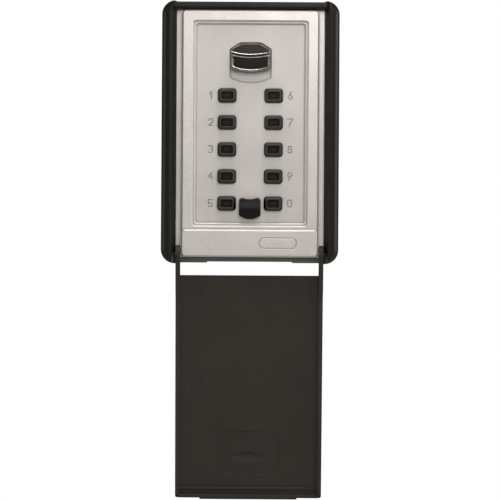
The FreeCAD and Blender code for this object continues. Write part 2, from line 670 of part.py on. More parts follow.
def make_button(x, z):
    """One push button with its flange and stem."""
    cap = button_hole(x, z, 0, FLOOR_Y - BUTTON_PROUD, DOOR_BACK + SEAT_GAP)
    cap = cap.makeChamfer(BUTTON_BEVEL, on_plane(cap, 1, FLOOR_Y - BUTTON_PROUD))
    w, h = BUTTON_DISH_W / 2, BUTTON_DISH_H / 2
    cap = cap.cut(slab(x - w, x + w, z - h, z + h, 0.7, FLOOR_Y - BUTTON_PROUD - 1,
                       FLOOR_Y - BUTTON_PROUD + BUTTON_DISH_D))
    flange_front = DOOR_BACK + SEAT_GAP
    flange = button_hole(x, z, FLANGE_OVER, flange_front, flange_front + FLANGE_T)
    stem = cyl_y(x, z, STEM_R, flange_front + FLANGE_T - 0.1, flange_front + FLANGE_T + STEM_L)
    return cap.multiFuse([flange, stem]).removeSplitter()


def button_room():
    """Pockets and bores in the mechanism case for the buttons."""
    floor = DOOR_BACK + SEAT_GAP + FLANGE_T + BUTTON_TRAVEL + FREE_GAP
    seat = DOOR_BACK + SEAT_GAP + FLANGE_T + SPRING_L + SEAT_GAP
    tools = []
    for x in COLS:
        for z in ROWS:
            tools.append(button_hole(x, z, FLANGE_OVER + SLIDE_GAP, MECH_FRONT - 1, floor))
            tools.append(cyl_y(x, z, SPRING_BORE_R, MECH_FRONT, seat))
            tools.append(cyl_y(x, z, STEM_R + SLIDE_GAP, MECH_FRONT,
                               DOOR_BACK + SEAT_GAP + FLANGE_T + STEM_L + BUTTON_TRAVEL + 0.5))
    return tools


def make_button_spring():
    """A return spring along +Y from y = 0."""
    return turned(coil(SPRING_R, SPRING_WIRE, SPRING_L - SEAT_GAP, SPRING_TURNS),
                  V(1, 0, 0), -90, V(0, 0, 0))


BOLT_Y0 = RIM_Y + RIM_T + FREE_GAP
BOLT_Y1 = BOLT_Y0 + BOLT_T
STEM_Z = LEVER_TOP - LEVER_H / 2
BOLT_LOW = STEM_Z - STEM_H / 2 - BOLT_TAIL
BOLT_HIGH = RIM_TOP + BOLT_BITE
LEVER_SPRING_LOW = BOLT_LOW - SEAT_GAP - LEVER_SPRING_L
RESET_FLANGE_Y0 = DOOR_BACK + SEAT_GAP + 0.1
RESET_FLANGE_Y1 = RESET_FLANGE_Y0 + RESET_FLANGE
RESET_FLANGE_HIGH = RESET_Z + RESET_STEM_H / 2 + 1.2
RESET_FLANGE_LOW = RESET_Z - RESET_STEM_H / 2 - 1.2
RESET_SPRING_LOW = RESET_FLANGE_LOW - SEAT_GAP - RESET_SPRING_L


def make_mechanism_case():
    """The block behind the faceplate that carries buttons, bolt and springs."""
    half = MECH_W / 2
    body = slab(-half, half, MECH_LOW, MECH_TOP, MECH_R, MECH_FRONT, MECH_BACK)
    tools = button_room()
    w = BOLT_W / 2 + SLIDE_GAP
    tools.append(box(-w, w, MECH_FRONT - 1, BOLT_Y1 + SLIDE_GAP, BOLT_LOW - LEVER_TRAVEL - 0.5,
                     MECH_TOP + 1))
    tools.append(box(-w, w, MECH_FRONT - 1, BOLT_Y1 + SLIDE_GAP, LEVER_SPRING_LOW - SEAT_GAP,
                     BOLT_LOW))
    w = RESET_STEM_W / 2 + 1.4
    tools.append(box(-w, w, MECH_FRONT - 1, RESET_FLANGE_Y1 + 0.9,
                     RESET_SPRING_LOW - SEAT_GAP, RESET_FLANGE_HIGH + SLIDE_GAP))
    for x, z in screw_places():
        tools.append(cyl_y(x, z, SCREW_R + SEAT_GAP, MECH_FRONT - 1, MECH_BACK + 1))
    for tool in tools:
        body = body.cut(tool)
    return body.removeSplitter()


def make_mechanism_cover():
    """The thin plate that closes the mechanism at the back."""
    half = MECH_W / 2
    body = slab(-half, half, MECH_LOW, MECH_TOP, MECH_R, COVER_FRONT, COVER_BACK)
    for x, z in screw_places():
        body = body.cut(cyl_y(x, z, SCREW_R + SEAT_GAP, COVER_FRONT - 1, COVER_BACK + 1))
    return body


def make_mechanism_screws():
    """Four slotted pan screws from the back."""
    screws = []
    for x, z in screw_places():
        head = cyl_y(x, z, SCREW_HEAD_R, COVER_BACK, COVER_BACK + SCREW_HEAD_T)
        head = head.makeFillet(0.5, on_plane(head, 1, COVER_BACK + SCREW_HEAD_T))
        screw = head.fuse(cyl_y(x, z, SCREW_R, FLOOR_Y + 1.1, COVER_BACK + 0.1))
        slot = box(x - SCREW_HEAD_R, x + SCREW_HEAD_R, COVER_BACK + SCREW_HEAD_T / 2,
                   COVER_BACK + SCREW_HEAD_T + 1, z - SCREW_SLOT_W / 2, z + SCREW_SLOT_W / 2)
        screws.append(screw.cut(slot).removeSplitter())
    return solids(screws)


def make_open_lever():
    """The thumb lever: upper slope, bowed ridge, lower face with an inset panel."""
    half, flat = LEVER_W / 2, LEVER_FLAT / 2
    back = POCKET_Y - FREE_GAP
    front = FLOOR_Y - LEVER_PROUD
    face = front + RIDGE_STEP
    low_end = LEVER_LOW + LEVER_SAG
    blank = window(half, LEVER_TOP, low_end, LEVER_LOW, flat, LEVER_CLIP, front, back)
    mid = LEVER_TOP - RIDGE_DOWN - RIDGE_T / 2
    slope = prism_x([(front - 1, mid), (face, mid), (FLOOR_Y - LEVER_SET, LEVER_TOP),
                     (FLOOR_Y - LEVER_SET, LEVER_TOP + 1), (front - 1, LEVER_TOP + 1)],
                    -half - 1, half + 1)
    drop = box(-half - 1, half + 1, front - 1, face, LEVER_LOW - 1, mid)
    ridge_low = LEVER_TOP - RIDGE_DOWN - RIDGE_T
    ridge = bow(half, ridge_low + RIDGE_SAG, ridge_low, RIDGE_T, front, back)
    rim = LEVER_FRAME
    panel = arch(half - rim, low_end + rim, LEVER_LOW + rim, mid, face - 1,
                 face + LEVER_PANEL_D)
    body = blank.cut(slope).cut(drop).cut(panel).fuse(ridge.common(blank))
    z = STEM_Z
    stem = box(-STEM_W / 2, STEM_W / 2, back - 0.5, BOLT_Y1, z - STEM_H / 2, z + STEM_H / 2)
    return body.fuse(stem).removeSplitter()


def make_latch_bolt():
    """The flat bolt behind the lever; its top catches behind the rim."""
    body = box(-BOLT_W / 2, BOLT_W / 2, BOLT_Y0, BOLT_Y1, BOLT_LOW, BOLT_HIGH)
    nose = [e for e in on_plane(body, 2, BOLT_HIGH) if along(e, 0)]
    body = body.makeChamfer(0.8, nose)
    w = STEM_W / 2 + SEAT_GAP
    h = STEM_H / 2 + SEAT_GAP
    return body.cut(box(-w, w, BOLT_Y0 - 1, BOLT_Y1 + 1, STEM_Z - h, STEM_Z + h))


def make_lever_spring():
    """The spring under the latch bolt."""
    shape = coil(1.2, 0.25, LEVER_SPRING_L, 6)
    shape.translate(V(0, (BOLT_Y0 + BOLT_Y1) / 2, LEVER_SPRING_LOW))
    return shape


def make_reset_slide():
    """The black thumb slide with its stem and flange."""
    half = RESET_W / 2
    front, back = FLOOR_Y - RESET_PROUD, FLOOR_Y - SLIDE_GAP
    top, low = RESET_Z + RESET_H / 2, RESET_Z - RESET_H / 2
    body = arch(half, low + 1.7, low, top, front, back)
    posts = [e for e in body.Edges if along(e, 1) and e.BoundBox.ZMin > top - 0.1]
    body = body.makeFillet(1.4, posts)
    body = body.cut(cyl_y(0, top + 9.4, 10.0, front - 1, back + 1))
    body = body.common(cyl_x(front + RESET_CROWN_R, RESET_Z, RESET_CROWN_R, -half, half))
    stem = box(-RESET_STEM_W / 2, RESET_STEM_W / 2, back - 0.3, RESET_FLANGE_Y1,
               RESET_Z - RESET_STEM_H / 2, RESET_Z + RESET_STEM_H / 2)
    w = RESET_STEM_W / 2 + 1.2
    flange = box(-w, w, RESET_FLANGE_Y0, RESET_FLANGE_Y1, RESET_FLANGE_LOW, RESET_FLANGE_HIGH)
    return body.multiFuse([stem, flange]).removeSplitter()


def make_reset_spring():
    """The spring under the reset slide."""
    shape = coil(0.65, 0.16, RESET_SPRING_L, 7)
    shape.translate(V(0, (RESET_FLANGE_Y0 + RESET_FLANGE_Y1) / 2 + 0.1, RESET_SPRING_LOW))
    return shape


def main():
    """Builds every node and writes one STEP file for each."""
    os.makedirs("parts", exist_ok=True)
    nodes = {
        "surround": make_surround(),
        "housing": make_housing(),
        "door_hinge_pins": make_door_hinge_pins(),
        "flap_hinge_pins": make_flap_hinge_pins(),
        "weather_flap": make_weather_flap(),
        "door_cover": make_door_cover(),
        "mechanism_case": make_mechanism_case(),
        "mechanism_cover": make_mechanism_cover(),
        "mechanism_screws": make_mechanism_screws(),
        "open_lever": make_open_lever(),
        "latch_bolt": make_latch_bolt(),
        "lever_spring": make_lever_spring(),
        "reset_slide": make_reset_slide(),
        "reset_spring": make_reset_spring(),
    }
    spring = make_button_spring()
    names = ("1", "2", "3", "4", "5"), ("6", "7", "8", "9", "0")
    for x, column in zip(COLS, names):
        for z, name in zip(ROWS, column):
            nodes["button_" + name] = make_button(x, z)
            y = DOOR_BACK + SEAT_GAP + FLANGE_T + SEAT_GAP / 2
            nodes["button_spring_" + name] = turned(spring, V(0, 1, 0), 0, V(x, y, z))
    for name, shape in nodes.items():
        shape.exportStep("parts/" + name + ".step")


main()
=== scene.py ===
import json
import logging
import math
from dataclasses import dataclass, replace
from enum import Enum
from typing import Any, NamedTuple

import bpy
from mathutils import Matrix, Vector

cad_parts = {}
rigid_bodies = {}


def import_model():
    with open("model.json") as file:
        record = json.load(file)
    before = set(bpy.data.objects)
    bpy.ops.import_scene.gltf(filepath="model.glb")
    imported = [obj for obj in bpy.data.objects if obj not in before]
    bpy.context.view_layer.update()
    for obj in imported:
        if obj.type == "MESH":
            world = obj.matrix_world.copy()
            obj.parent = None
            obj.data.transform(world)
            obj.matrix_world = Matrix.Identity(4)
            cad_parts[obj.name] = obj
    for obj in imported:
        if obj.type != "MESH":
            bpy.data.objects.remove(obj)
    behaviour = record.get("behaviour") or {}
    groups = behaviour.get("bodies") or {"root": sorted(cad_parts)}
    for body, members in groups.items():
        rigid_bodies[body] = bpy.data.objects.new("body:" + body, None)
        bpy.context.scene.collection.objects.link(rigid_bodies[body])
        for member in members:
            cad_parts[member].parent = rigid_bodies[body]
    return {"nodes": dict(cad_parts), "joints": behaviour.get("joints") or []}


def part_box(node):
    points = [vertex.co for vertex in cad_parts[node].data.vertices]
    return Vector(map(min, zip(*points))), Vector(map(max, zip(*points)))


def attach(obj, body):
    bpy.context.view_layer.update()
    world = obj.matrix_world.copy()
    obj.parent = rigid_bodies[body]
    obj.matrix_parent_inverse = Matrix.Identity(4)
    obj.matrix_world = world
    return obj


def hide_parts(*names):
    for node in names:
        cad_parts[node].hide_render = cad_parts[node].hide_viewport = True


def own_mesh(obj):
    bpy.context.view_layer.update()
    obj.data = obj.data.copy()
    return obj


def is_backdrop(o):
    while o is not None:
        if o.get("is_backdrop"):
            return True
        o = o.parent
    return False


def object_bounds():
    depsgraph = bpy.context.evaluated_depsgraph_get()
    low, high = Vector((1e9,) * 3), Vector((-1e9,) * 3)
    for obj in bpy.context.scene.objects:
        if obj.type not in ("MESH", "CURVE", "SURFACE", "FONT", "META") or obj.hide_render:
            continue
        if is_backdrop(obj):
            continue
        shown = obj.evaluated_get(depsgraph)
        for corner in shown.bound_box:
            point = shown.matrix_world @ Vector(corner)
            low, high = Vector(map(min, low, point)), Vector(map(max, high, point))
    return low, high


LOG = logging.getLogger("key_lock_box")
MM = 0.001
MM_PER_M = 1000.0
Colour = tuple[float, float, float]
Row = dict[str, Any]

# Sockets of the colour Mix node, whose names its number sockets share.
MIX_FACTOR, MIX_UNDER, MIX_OVER, MIX_RESULT = 0, 6, 7, 2
EDGE_SAMPLES = 6
SHADE_SAMPLES = 8


class Cloud(NamedTuple):
    """A noise: features per metre, octaves, and how strong the finer octaves are."""

    scale: float
    detail: float = 3.0
    rough: float = 0.55


class Grain(Enum):
    """How the surface of a finish is textured."""

    SAND = "sand"
    PLAIN = "plain"
    BRUSHED = "brushed"


class NodeSheet:
    """A material's node tree, filled one node at a time."""

    def __init__(self, name: str) -> None:
        """Makes a material with a shader, an output and object coordinates.

        Args:
            name: the material's name.
        """
        self.material = bpy.data.materials.new(name)
        self.material.use_nodes = True
        self.tree = self.material.node_tree
        self.tree.nodes.clear()
        self.shader = self.add("ShaderNodeBsdfPrincipled")
        out = self.add("ShaderNodeOutputMaterial")
        self.join(self.shader, "BSDF", out, "Surface")
        self.place = self.add("ShaderNodeTexCoord")

    def add(self, kind: str, **settings: object) -> bpy.types.Node:
        """Adds one node.

        Args:
            kind: Blender's name for the node type.
            settings: node attributes, or socket values named with spaces as underscores.

        Returns:
            The new node.
        """
        node = self.tree.nodes.new(kind)
        for key, value in settings.items():
            socket = key.replace("_", " ")
            if hasattr(node, key):
                setattr(node, key, value)
            elif socket in node.inputs:
                node.inputs[socket].default_value = value
            else:
                raise KeyError(f"{kind} has no {key}")
        return node

    def join(self, a: bpy.types.Node, out: str, b: bpy.types.Node, into: str | int) -> None:
        """Links one node's output to another's input.

        Args:
            a: the node that gives.
            out: its output's name.
            b: the node that takes.
            into: its input's name or number.
        """
        self.tree.links.new(a.outputs[out], b.inputs[into])

    def maths(self, operation: str, *feeds: float | tuple[bpy.types.Node, str],
              clamp: bool = False) -> bpy.types.Node:
        """Adds a Math node and fills its inputs in order.

        Args:
            operation: Blender's name for the operation.
            feeds: for each input a number, or a node and its output's name.
            clamp: whether the result stays between 0 and 1.

        Returns:
            The Math node.
        """
        node = self.add("ShaderNodeMath", operation=operation, use_clamp=clamp)
        for number, feed in enumerate(feeds):
            if isinstance(feed, tuple):
                self.join(*feed, node, number)
            else:
                node.inputs[number].default_value = feed
        return node

    def noise(self, cloud: Cloud) -> bpy.types.Node:
        """Adds a noise texture in object space.

        Args:
            cloud: its scale and octaves.

        Returns:
            The noise node.
        """
        node = self.add("ShaderNodeTexNoise", Scale=cloud.scale, Detail=cloud.detail,
                        Roughness=cloud.rough)
        self.join(self.place, "Object", node, "Vector")
        return node

    def split(self) -> bpy.types.Node:
        """Splits the place in object space into X, Y and Z.

        Returns:
            The node with the three outputs.
        """
        node = self.add("ShaderNodeSeparateXYZ")
        self.join(self.place, "Object", node, 0)
        return node

    def blend(self, factor: bpy.types.Node, out: str, low: Colour, high: Colour,
              span: tuple[float, float] = (0.35, 0.65)) -> bpy.types.Node:
        """Adds a two-colour ramp.

        Args:
            factor: the node that drives the ramp.
            out: its output's name.
            low: colour at the low end.
            high: colour at the high end.
            span: where the two ends lie.

        Returns:
            The ramp node.
        """
        ramp = self.add("ShaderNodeValToRGB")
        for stop, at, tone in zip(ramp.color_ramp.elements, span, (low, high)):
            stop.position = at
            stop.color = (*tone, 1.0)
        self.join(factor, out, ramp, "Fac")
        return ramp

    def turned(self, node: bpy.types.Node, out: str, gain: float) -> bpy.types.Node:
        """Adds a mask that rises as an output falls below 1.

        Args:
            node: the node to read.
            out: its output's name.
            gain: how quickly the mask rises.

        Returns:
            The mask node, whose output is Value.
        """
        short = self.maths("SUBTRACT", 1.0, (node, out), clamp=True)
        return self.maths("MULTIPLY", (short, "Value"), gain, clamp=True)

    def edges(self, radius: float, gain: float) -> tuple[bpy.types.Node, bpy.types.Node]:
        """Adds a rounded normal along edges and a painted-highlight mask that is 1 along
        them.

        Args:
            radius: the radius of the softened edges, in metres.
            gain: how quickly the mask rises.

        Returns:
            The bevel node and the mask node.
        """
        soft = self.add("ShaderNodeBevel", samples=EDGE_SAMPLES, Radius=radius)
        flat = self.add("ShaderNodeNewGeometry")
        dot = self.add("ShaderNodeVectorMath", operation="DOT_PRODUCT")
        self.join(soft, "Normal", dot, 0)
        self.join(flat, "Normal", dot, 1)
        return soft, self.turned(dot, "Value", gain)

    def painted_corner_shade(self, reach: float, gain: float) -> bpy.types.Node:
        """Adds a painted-shade mask that rises towards 1 in corners and grooves, where shade
        falls.

        Args:
            reach: how far from a corner the mask starts, in metres.
            gain: how quickly it rises.

        Returns:
            The mask node.
        """
        near = self.add("ShaderNodeAmbientOcclusion", samples=SHADE_SAMPLES, Distance=reach)
        return self.turned(near, "AO", gain)

    @staticmethod
    def tone(node: bpy.types.Node) -> bpy.types.NodeSocket:
        """Gives the colour output of a ramp or mix node."""
        return node.outputs[MIX_RESULT if node.bl_idname == "ShaderNodeMix" else "Color"]

    def mix(self, factor: bpy.types.Node, out: str, base: bpy.types.Node,
            top: Colour) -> bpy.types.Node:
        """Mixes a flat colour over another node's colour.

        Args:
            factor: the node that drives the mix.
            out: its output's name.
            base: the ramp or mix node whose colour lies underneath.
            top: the colour on top.

        Returns:
            The mix node.
        """
        node = self.add("ShaderNodeMix", data_type="RGBA")
        self.join(factor, out, node, MIX_FACTOR)
        self.tree.links.new(self.tone(base), node.inputs[MIX_UNDER])
        node.inputs[MIX_OVER].default_value = (*top, 1.0)
        return node

    def scaled(self, node: bpy.types.Node, out: str, low: float, high: float,
               start: float = 0.0, end: float = 1.0) -> bpy.types.Node:
        """Maps an output onto another range and holds it there.

        Args:
            node: the node to read.
            out: its output's name.
            low: value at the start.
            high: value at the end.
            start: the reading that gives the low value.
            end: the reading that gives the high value.

        Returns:
            The map-range node, whose output is Result.
        """
        span = self.add("ShaderNodeMapRange", From_Min=start, From_Max=end, To_Min=low,
                        To_Max=high)
        self.join(node, out, span, "Value")
        return span

    def bump(self, height: bpy.types.Node, out: str, depth: float, strength: float,
             under: bpy.types.Node) -> bpy.types.Node:
        """Adds a bump whose height is in metres.

        Args:
            height: the node that gives the height.
            out: its output's name.
            depth: height of a full step in metres.
            strength: 0 to 1.
            under: the node whose Normal lies underneath.

        Returns:
            The bump node.
        """
        node = self.add("ShaderNodeBump", Strength=strength, Distance=depth)
        self.join(height, out, node, "Height")
        self.join(under, "Normal", node, "Normal")
        return node

    def colour(self, node: bpy.types.Node) -> None:
        """Feeds a node's colour to the shader."""
        self.tree.links.new(self.tone(node), self.shader.inputs["Base Color"])


MOTTLING = Cloud(45.0, detail=5.0, rough=0.6)
GLOSS_PATCHES = Cloud(160.0, detail=4.0, rough=0.65)
BUMP_STRENGTH = 0.6
FLAKE_LOW, FLAKE_HIGH = -1.7, 2.0
FLAKE_GAIN = 1.25
BRUSH_STRETCH = 0.06
BRUSH_DETAIL = 3.0


@dataclass(frozen=True)
class Skin:
    """A finish: tones, gloss, texture, painted highlights along edges and painted shade in
    corners.

    Attributes:
        name: the finish's name.
        dark: the tone in the hollows of the mottling.
        light: the tone on its crests.
        edge_highlight: the painted highlight tone along edges.
        metallic: 0 for plastic, up to 1 for bare metal.
        roughness: the smoothest and the roughest value.
        grain: how the surface is textured.
        grain_mm: size of one grain.
        depth_mm: height of one grain.
        edge_mm: radius of the softened edges and of their painted highlight.
        edge_highlight_gain: how quickly the painted highlight rises along edges.
        specular: reflection level of the clear surface.
        painted_shade: the painted shade tone in corners and grooves.
        painted_shade_mm: how far from a corner that tone starts.
        painted_shade_gain: how strongly it shows, 0 for none.
    """

    name: str
    dark: Colour
    light: Colour
    edge_highlight: Colour
    metallic: float
    roughness: tuple[float, float]
    grain: Grain
    grain_mm: float
    depth_mm: float
    edge_mm: float = 0.25
    edge_highlight_gain: float = 2.5
    specular: float = 0.5
    painted_shade: Colour = (0.10, 0.085, 0.070)
    painted_shade_mm: float = 0.9
    painted_shade_gain: float = 0.0

    @property
    def fineness(self) -> float:
        """Grains per metre."""
        return MM_PER_M / self.grain_mm

    def make(self) -> bpy.types.Material:
        """Builds the material.

        Returns:
            The finished material.
        """
        sheet = NodeSheet(self.name)
        shader = sheet.shader
        shader.inputs["Metallic"].default_value = self.metallic
        shader.inputs["Specular IOR Level"].default_value = self.specular
        tone = sheet.blend(sheet.noise(MOTTLING), "Fac", self.dark, self.light)
        soft, highlight_mask = sheet.edges(self.edge_mm * MM, self.edge_highlight_gain)
        tone = self.overlay(sheet, tone)
        # Painted highlight: a light tone along every rounded rim, where a real rim would
        # catch the light.
        tone = sheet.mix(highlight_mask, "Value", tone, self.edge_highlight)
        # Painted shade: a darker tone, mixed in by ambient occlusion in corners, grooves and
        # gaps next to other parts.
        if self.painted_shade_gain:
            shade_mask = sheet.painted_corner_shade(self.painted_shade_mm * MM, self.painted_shade_gain)
            tone = sheet.mix(shade_mask, "Value", tone, self.painted_shade)
        sheet.colour(tone)
        patches = sheet.noise(GLOSS_PATCHES)
        gloss = self.gloss(sheet, sheet.scaled(patches, "Fac", *self.roughness))
        sheet.join(gloss, gloss.outputs[0].name, shader, "Roughness")
        fine = self.texture(sheet)
        bump = sheet.bump(fine, fine.outputs[0].name, self.depth_mm * MM, BUMP_STRENGTH, soft)
        sheet.join(bump, "Normal", shader, "Normal")
        return sheet.material

    def gloss(self, sheet: NodeSheet, even: bpy.types.Node) -> bpy.types.Node:
        """Gives the roughness, which is the even one on a plain skin.

        Args:
            sheet: the material's sheet.
            even: the roughness with its patches.

        Returns:
            The node whose first output is the roughness.
        """
        return even

    def overlay(self, sheet: NodeSheet, tone: bpy.types.Node) -> bpy.types.Node:
        """Adds what lies over the mottling: the fine flakes of a sandy paint.

        Args:
            sheet: the material's sheet.
            tone: the colour underneath.

        Returns:
            The node with the flakes, or the one given.
        """
        if self.grain is not Grain.SAND:
            return tone
        flakes = sheet.noise(Cloud(self.fineness, detail=2.0, rough=0.8))
        bright = sheet.scaled(flakes, "Fac", FLAKE_LOW, FLAKE_HIGH)
        return sheet.mix(bright, "Result", tone,
                         tuple(min(1.0, part * FLAKE_GAIN) for part in self.light))

    def texture(self, sheet: NodeSheet) -> bpy.types.Node:
        """Makes the height that the bump follows.

        Args:
            sheet: the material's sheet.

        Returns:
            A node whose first output is the height.
        """
        if self.grain is not Grain.BRUSHED:
            return sheet.noise(Cloud(self.fineness, detail=3.0, rough=0.6))
        stretch = sheet.add("ShaderNodeMapping", Scale=(1.0, 1.0, BRUSH_STRETCH))
        sheet.join(sheet.place, "Object", stretch, "Vector")
        lines = sheet.add("ShaderNodeTexNoise", Scale=self.fineness, Detail=BRUSH_DETAIL)
        sheet.join(stretch, "Vector", lines, "Vector")
        return lines


@dataclass(frozen=True)
class SunkSkin(Skin):
    """A paint that lies rougher in a recess than on the raised face round it.

    Attributes:
        face_y: depth of the raised face, in metres.
        floor_y: depth of the recess floor, in metres.
        extra: roughness added on the floor.
    """

    face_y: float = 0.0
    floor_y: float = 0.0
    extra: float = 0.12

    def gloss(self, sheet: NodeSheet, even: bpy.types.Node) -> bpy.types.Node:
        """Adds the recess floor's extra roughness.

        Args:
            sheet: the material's sheet.
            even: the roughness of the raised face.

        Returns:
            The node that sums both.
        """
        sunk = sheet.scaled(sheet.split(), "Y", 0.0, self.extra, self.face_y, self.floor_y)
        return sheet.maths("ADD", (even, "Result"), (sunk, "Result"))


@dataclass(frozen=True)
class PaintedLightBandSkin(Skin):
    """A moulding whose lowest band is painted paler along the middle, as painted light.

    Attributes:
        foot_z: height below which the band is fully pale, in metres.
        band_z: height where the band ends, in metres.
        half: half of the band's length, in metres.
        fade: how far in from each end it turns pale, in metres.
        pale: the band's tone, painted light.
    """

    foot_z: float = 0.0
    band_z: float = 0.0
    half: float = 0.0
    fade: float = 1.0 * MM
    pale: Colour = (0.17, 0.158, 0.137)

    def overlay(self, sheet: NodeSheet, tone: bpy.types.Node) -> bpy.types.Node:
        """Adds the band's painted light.

        Args:
            sheet: the material's sheet.
            tone: the colour underneath.

        Returns:
            The node with the band.
        """
        place = sheet.split()
        band = sheet.scaled(place, "Z", 0.0, 1.0, self.band_z, self.foot_z)
        away = sheet.maths("ABSOLUTE", (place, "X"))
        within = sheet.scaled(away, "Value", 0.0, 1.0, self.half, self.half - self.fade)
        both = sheet.maths("MULTIPLY", (band, "Result"), (within, "Result"), clamp=True)
        return sheet.mix(both, "Value", tone, self.pale)


# Painted light: the housing's paint is made lighter than the door's, for the strips deep in
# the rails' shade.
LIT_SILVER = Skin(
    "silver_paint", dark=(0.67, 0.625, 0.585), light=(0.75, 0.70, 0.66),
    edge_highlight=(0.86, 0.82, 0.78), metallic=0.30, roughness=(0.34, 0.44), grain=Grain.SAND,
    grain_mm=0.35, depth_mm=0.035, edge_mm=0.22, edge_highlight_gain=4.5, painted_shade_gain=0.5)
# Painted shade in the door's corners, digit grooves and round the buttons; a bright painted
# highlight along its rims.
DOOR_SILVER = SunkSkin(
    "door_silver", dark=(0.50, 0.462, 0.430), light=(0.57, 0.528, 0.493),
    edge_highlight=(0.92, 0.88, 0.84), metallic=0.30, roughness=(0.30, 0.38), grain=Grain.SAND,
    grain_mm=0.35, depth_mm=0.035, edge_mm=0.32, edge_highlight_gain=10.0, painted_shade=(0.16, 0.13, 0.11),
    painted_shade_gain=1.2)
JACKET = PaintedLightBandSkin(
    "black_jacket", dark=(0.0108, 0.0092, 0.0066), light=(0.0140, 0.0120, 0.0090),
    edge_highlight=(0.040, 0.036, 0.028), metallic=0.0, roughness=(0.34, 0.46), grain=Grain.PLAIN,
    grain_mm=0.30, depth_mm=0.015, edge_mm=0.35, edge_highlight_gain=1.6, specular=0.17)
FLAP = Skin(
    "black_flap", dark=(0.0300, 0.0255, 0.0190), light=(0.0355, 0.0302, 0.0230),
    edge_highlight=(0.066, 0.058, 0.046), metallic=0.0, roughness=(0.46, 0.58), grain=Grain.PLAIN,
    grain_mm=0.28, depth_mm=0.015, edge_mm=0.25, edge_highlight_gain=2.0, specular=0.20)
# Painted shade: a strong dark corner tone darkens the buttons' dished fronts.
BUTTON = Skin(
    "black_button", dark=(0.052, 0.048, 0.040), light=(0.063, 0.058, 0.049),
    edge_highlight=(0.085, 0.080, 0.070), metallic=0.0, roughness=(0.38, 0.50), grain=Grain.PLAIN,
    grain_mm=0.22, depth_mm=0.010, edge_mm=0.30, edge_highlight_gain=1.0, specular=0.12,
    painted_shade=(0.0015, 0.0014, 0.0012), painted_shade_mm=3.5, painted_shade_gain=7.0)
SLIDE = Skin(
    "black_slide", dark=(0.0040, 0.0038, 0.0032), light=(0.0060, 0.0057, 0.0050),
    edge_highlight=(0.035, 0.033, 0.029), metallic=0.0, roughness=(0.30, 0.40), grain=Grain.PLAIN,
    grain_mm=0.5, depth_mm=0.006, edge_mm=0.3, edge_highlight_gain=1.5, specular=0.15)
# Painted highlight: the bright outline along the lever's rims stands in for reflected light.
CHROME = Skin(
    "dark_chrome", dark=(0.0045, 0.0038, 0.0032), light=(0.0075, 0.0062, 0.0054),
    edge_highlight=(0.92, 0.86, 0.79), metallic=1.0, roughness=(0.12, 0.22), grain=Grain.PLAIN,
    grain_mm=1.2, depth_mm=0.008, edge_mm=0.33, edge_highlight_gain=26.0)
CASE = Skin(
    "mechanism_plastic", dark=(0.030, 0.030, 0.031), light=(0.042, 0.042, 0.043),
    edge_highlight=(0.08, 0.08, 0.08), metallic=0.0, roughness=(0.40, 0.55), grain=Grain.PLAIN,
    grain_mm=0.35, depth_mm=0.02)
STEEL = Skin(
    "bright_steel", dark=(0.52, 0.52, 0.51), light=(0.62, 0.62, 0.61),
    edge_highlight=(0.78, 0.78, 0.77), metallic=0.95, roughness=(0.22, 0.36), grain=Grain.BRUSHED,
    grain_mm=0.25, depth_mm=0.006)
WIRE = Skin(
    "spring_wire", dark=(0.42, 0.42, 0.43), light=(0.52, 0.52, 0.53),
    edge_highlight=(0.62, 0.62, 0.62), metallic=1.0, roughness=(0.20, 0.30), grain=Grain.PLAIN,
    grain_mm=0.4, depth_mm=0.004, edge_mm=0.05)


def dress(nodes: dict[str, bpy.types.Object], names: list[str],
          material: bpy.types.Material) -> None:
    """Puts one material on several CAD nodes.

    Args:
        nodes: the loaded nodes by name.
        names: the nodes to dress.
        material: what they get.
    """
    for name in names:
        obj = nodes[name]
        slots = obj.data.materials
        if not slots:
            slots.append(material)
        for k in range(len(slots)):
            slots[k] = material
        LOG.info("dressed %s in %s", name, material.name)


@dataclass
class CaseShell:
    """The black jacket, the silver housing inside it and the hinges' pins.

    Attributes:
        nodes: the loaded nodes by name.
        band: height of the jacket's foot band, painted paler as painted light.
        past: how far that foot runs past the flap on each side.
    """

    nodes: dict[str, bpy.types.Object]
    band: float = 5.0 * MM
    past: float = 2.0 * MM

    def build(self) -> None:
        """Dresses the jacket, the housing and the pins."""
        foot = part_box("surround")[0].z
        # Painted light: the jacket's foot band is painted paler, as if the lamps reached it.
        paint = replace(JACKET, foot_z=foot + self.band / 2, band_z=foot + self.band,
                        half=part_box("weather_flap")[1].x + self.past)
        dress(self.nodes, ["surround"], paint.make())
        dress(self.nodes, ["housing"], LIT_SILVER.make())
        dress(self.nodes, ["door_hinge_pins"], STEEL.make())
        dress(self.nodes, ["flap_hinge_pins"], SLIDE.make())


@dataclass
class WeatherFlap:
    """The black cover that hangs open below the box.

    Attributes:
        nodes: the loaded nodes by name.
    """

    nodes: dict[str, bpy.types.Object]

    def build(self) -> None:
        """Dresses the flap."""
        dress(self.nodes, ["weather_flap"], FLAP.make())


@dataclass
class Spring:
    """A coil spring that rides on the body of its joint's parent.

    Attributes:
        node: the CAD spring that it stands for.
        joint: the record's row for the joint that presses it.
    """

    node: bpy.types.Object
    joint: Row

    def build(self, wire: bpy.types.Material) -> None:
        """Makes the coil, a copy of the CAD spring on the joint's parent body, and hides the
        CAD spring.

        Args:
            wire: its material.
        """
        mesh = self.node.data.copy()
        mesh.materials.clear()
        mesh.materials.append(wire)
        coil = bpy.data.objects.new(self.node.name + "_coil", mesh)
        bpy.context.scene.collection.objects.link(coil)
        coil.matrix_world = self.node.matrix_world
        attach(coil, self.joint["parent"])
        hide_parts(self.node.name)
        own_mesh(coil)
        LOG.info("coiled %s, which %s presses", coil.name, self.joint["name"])


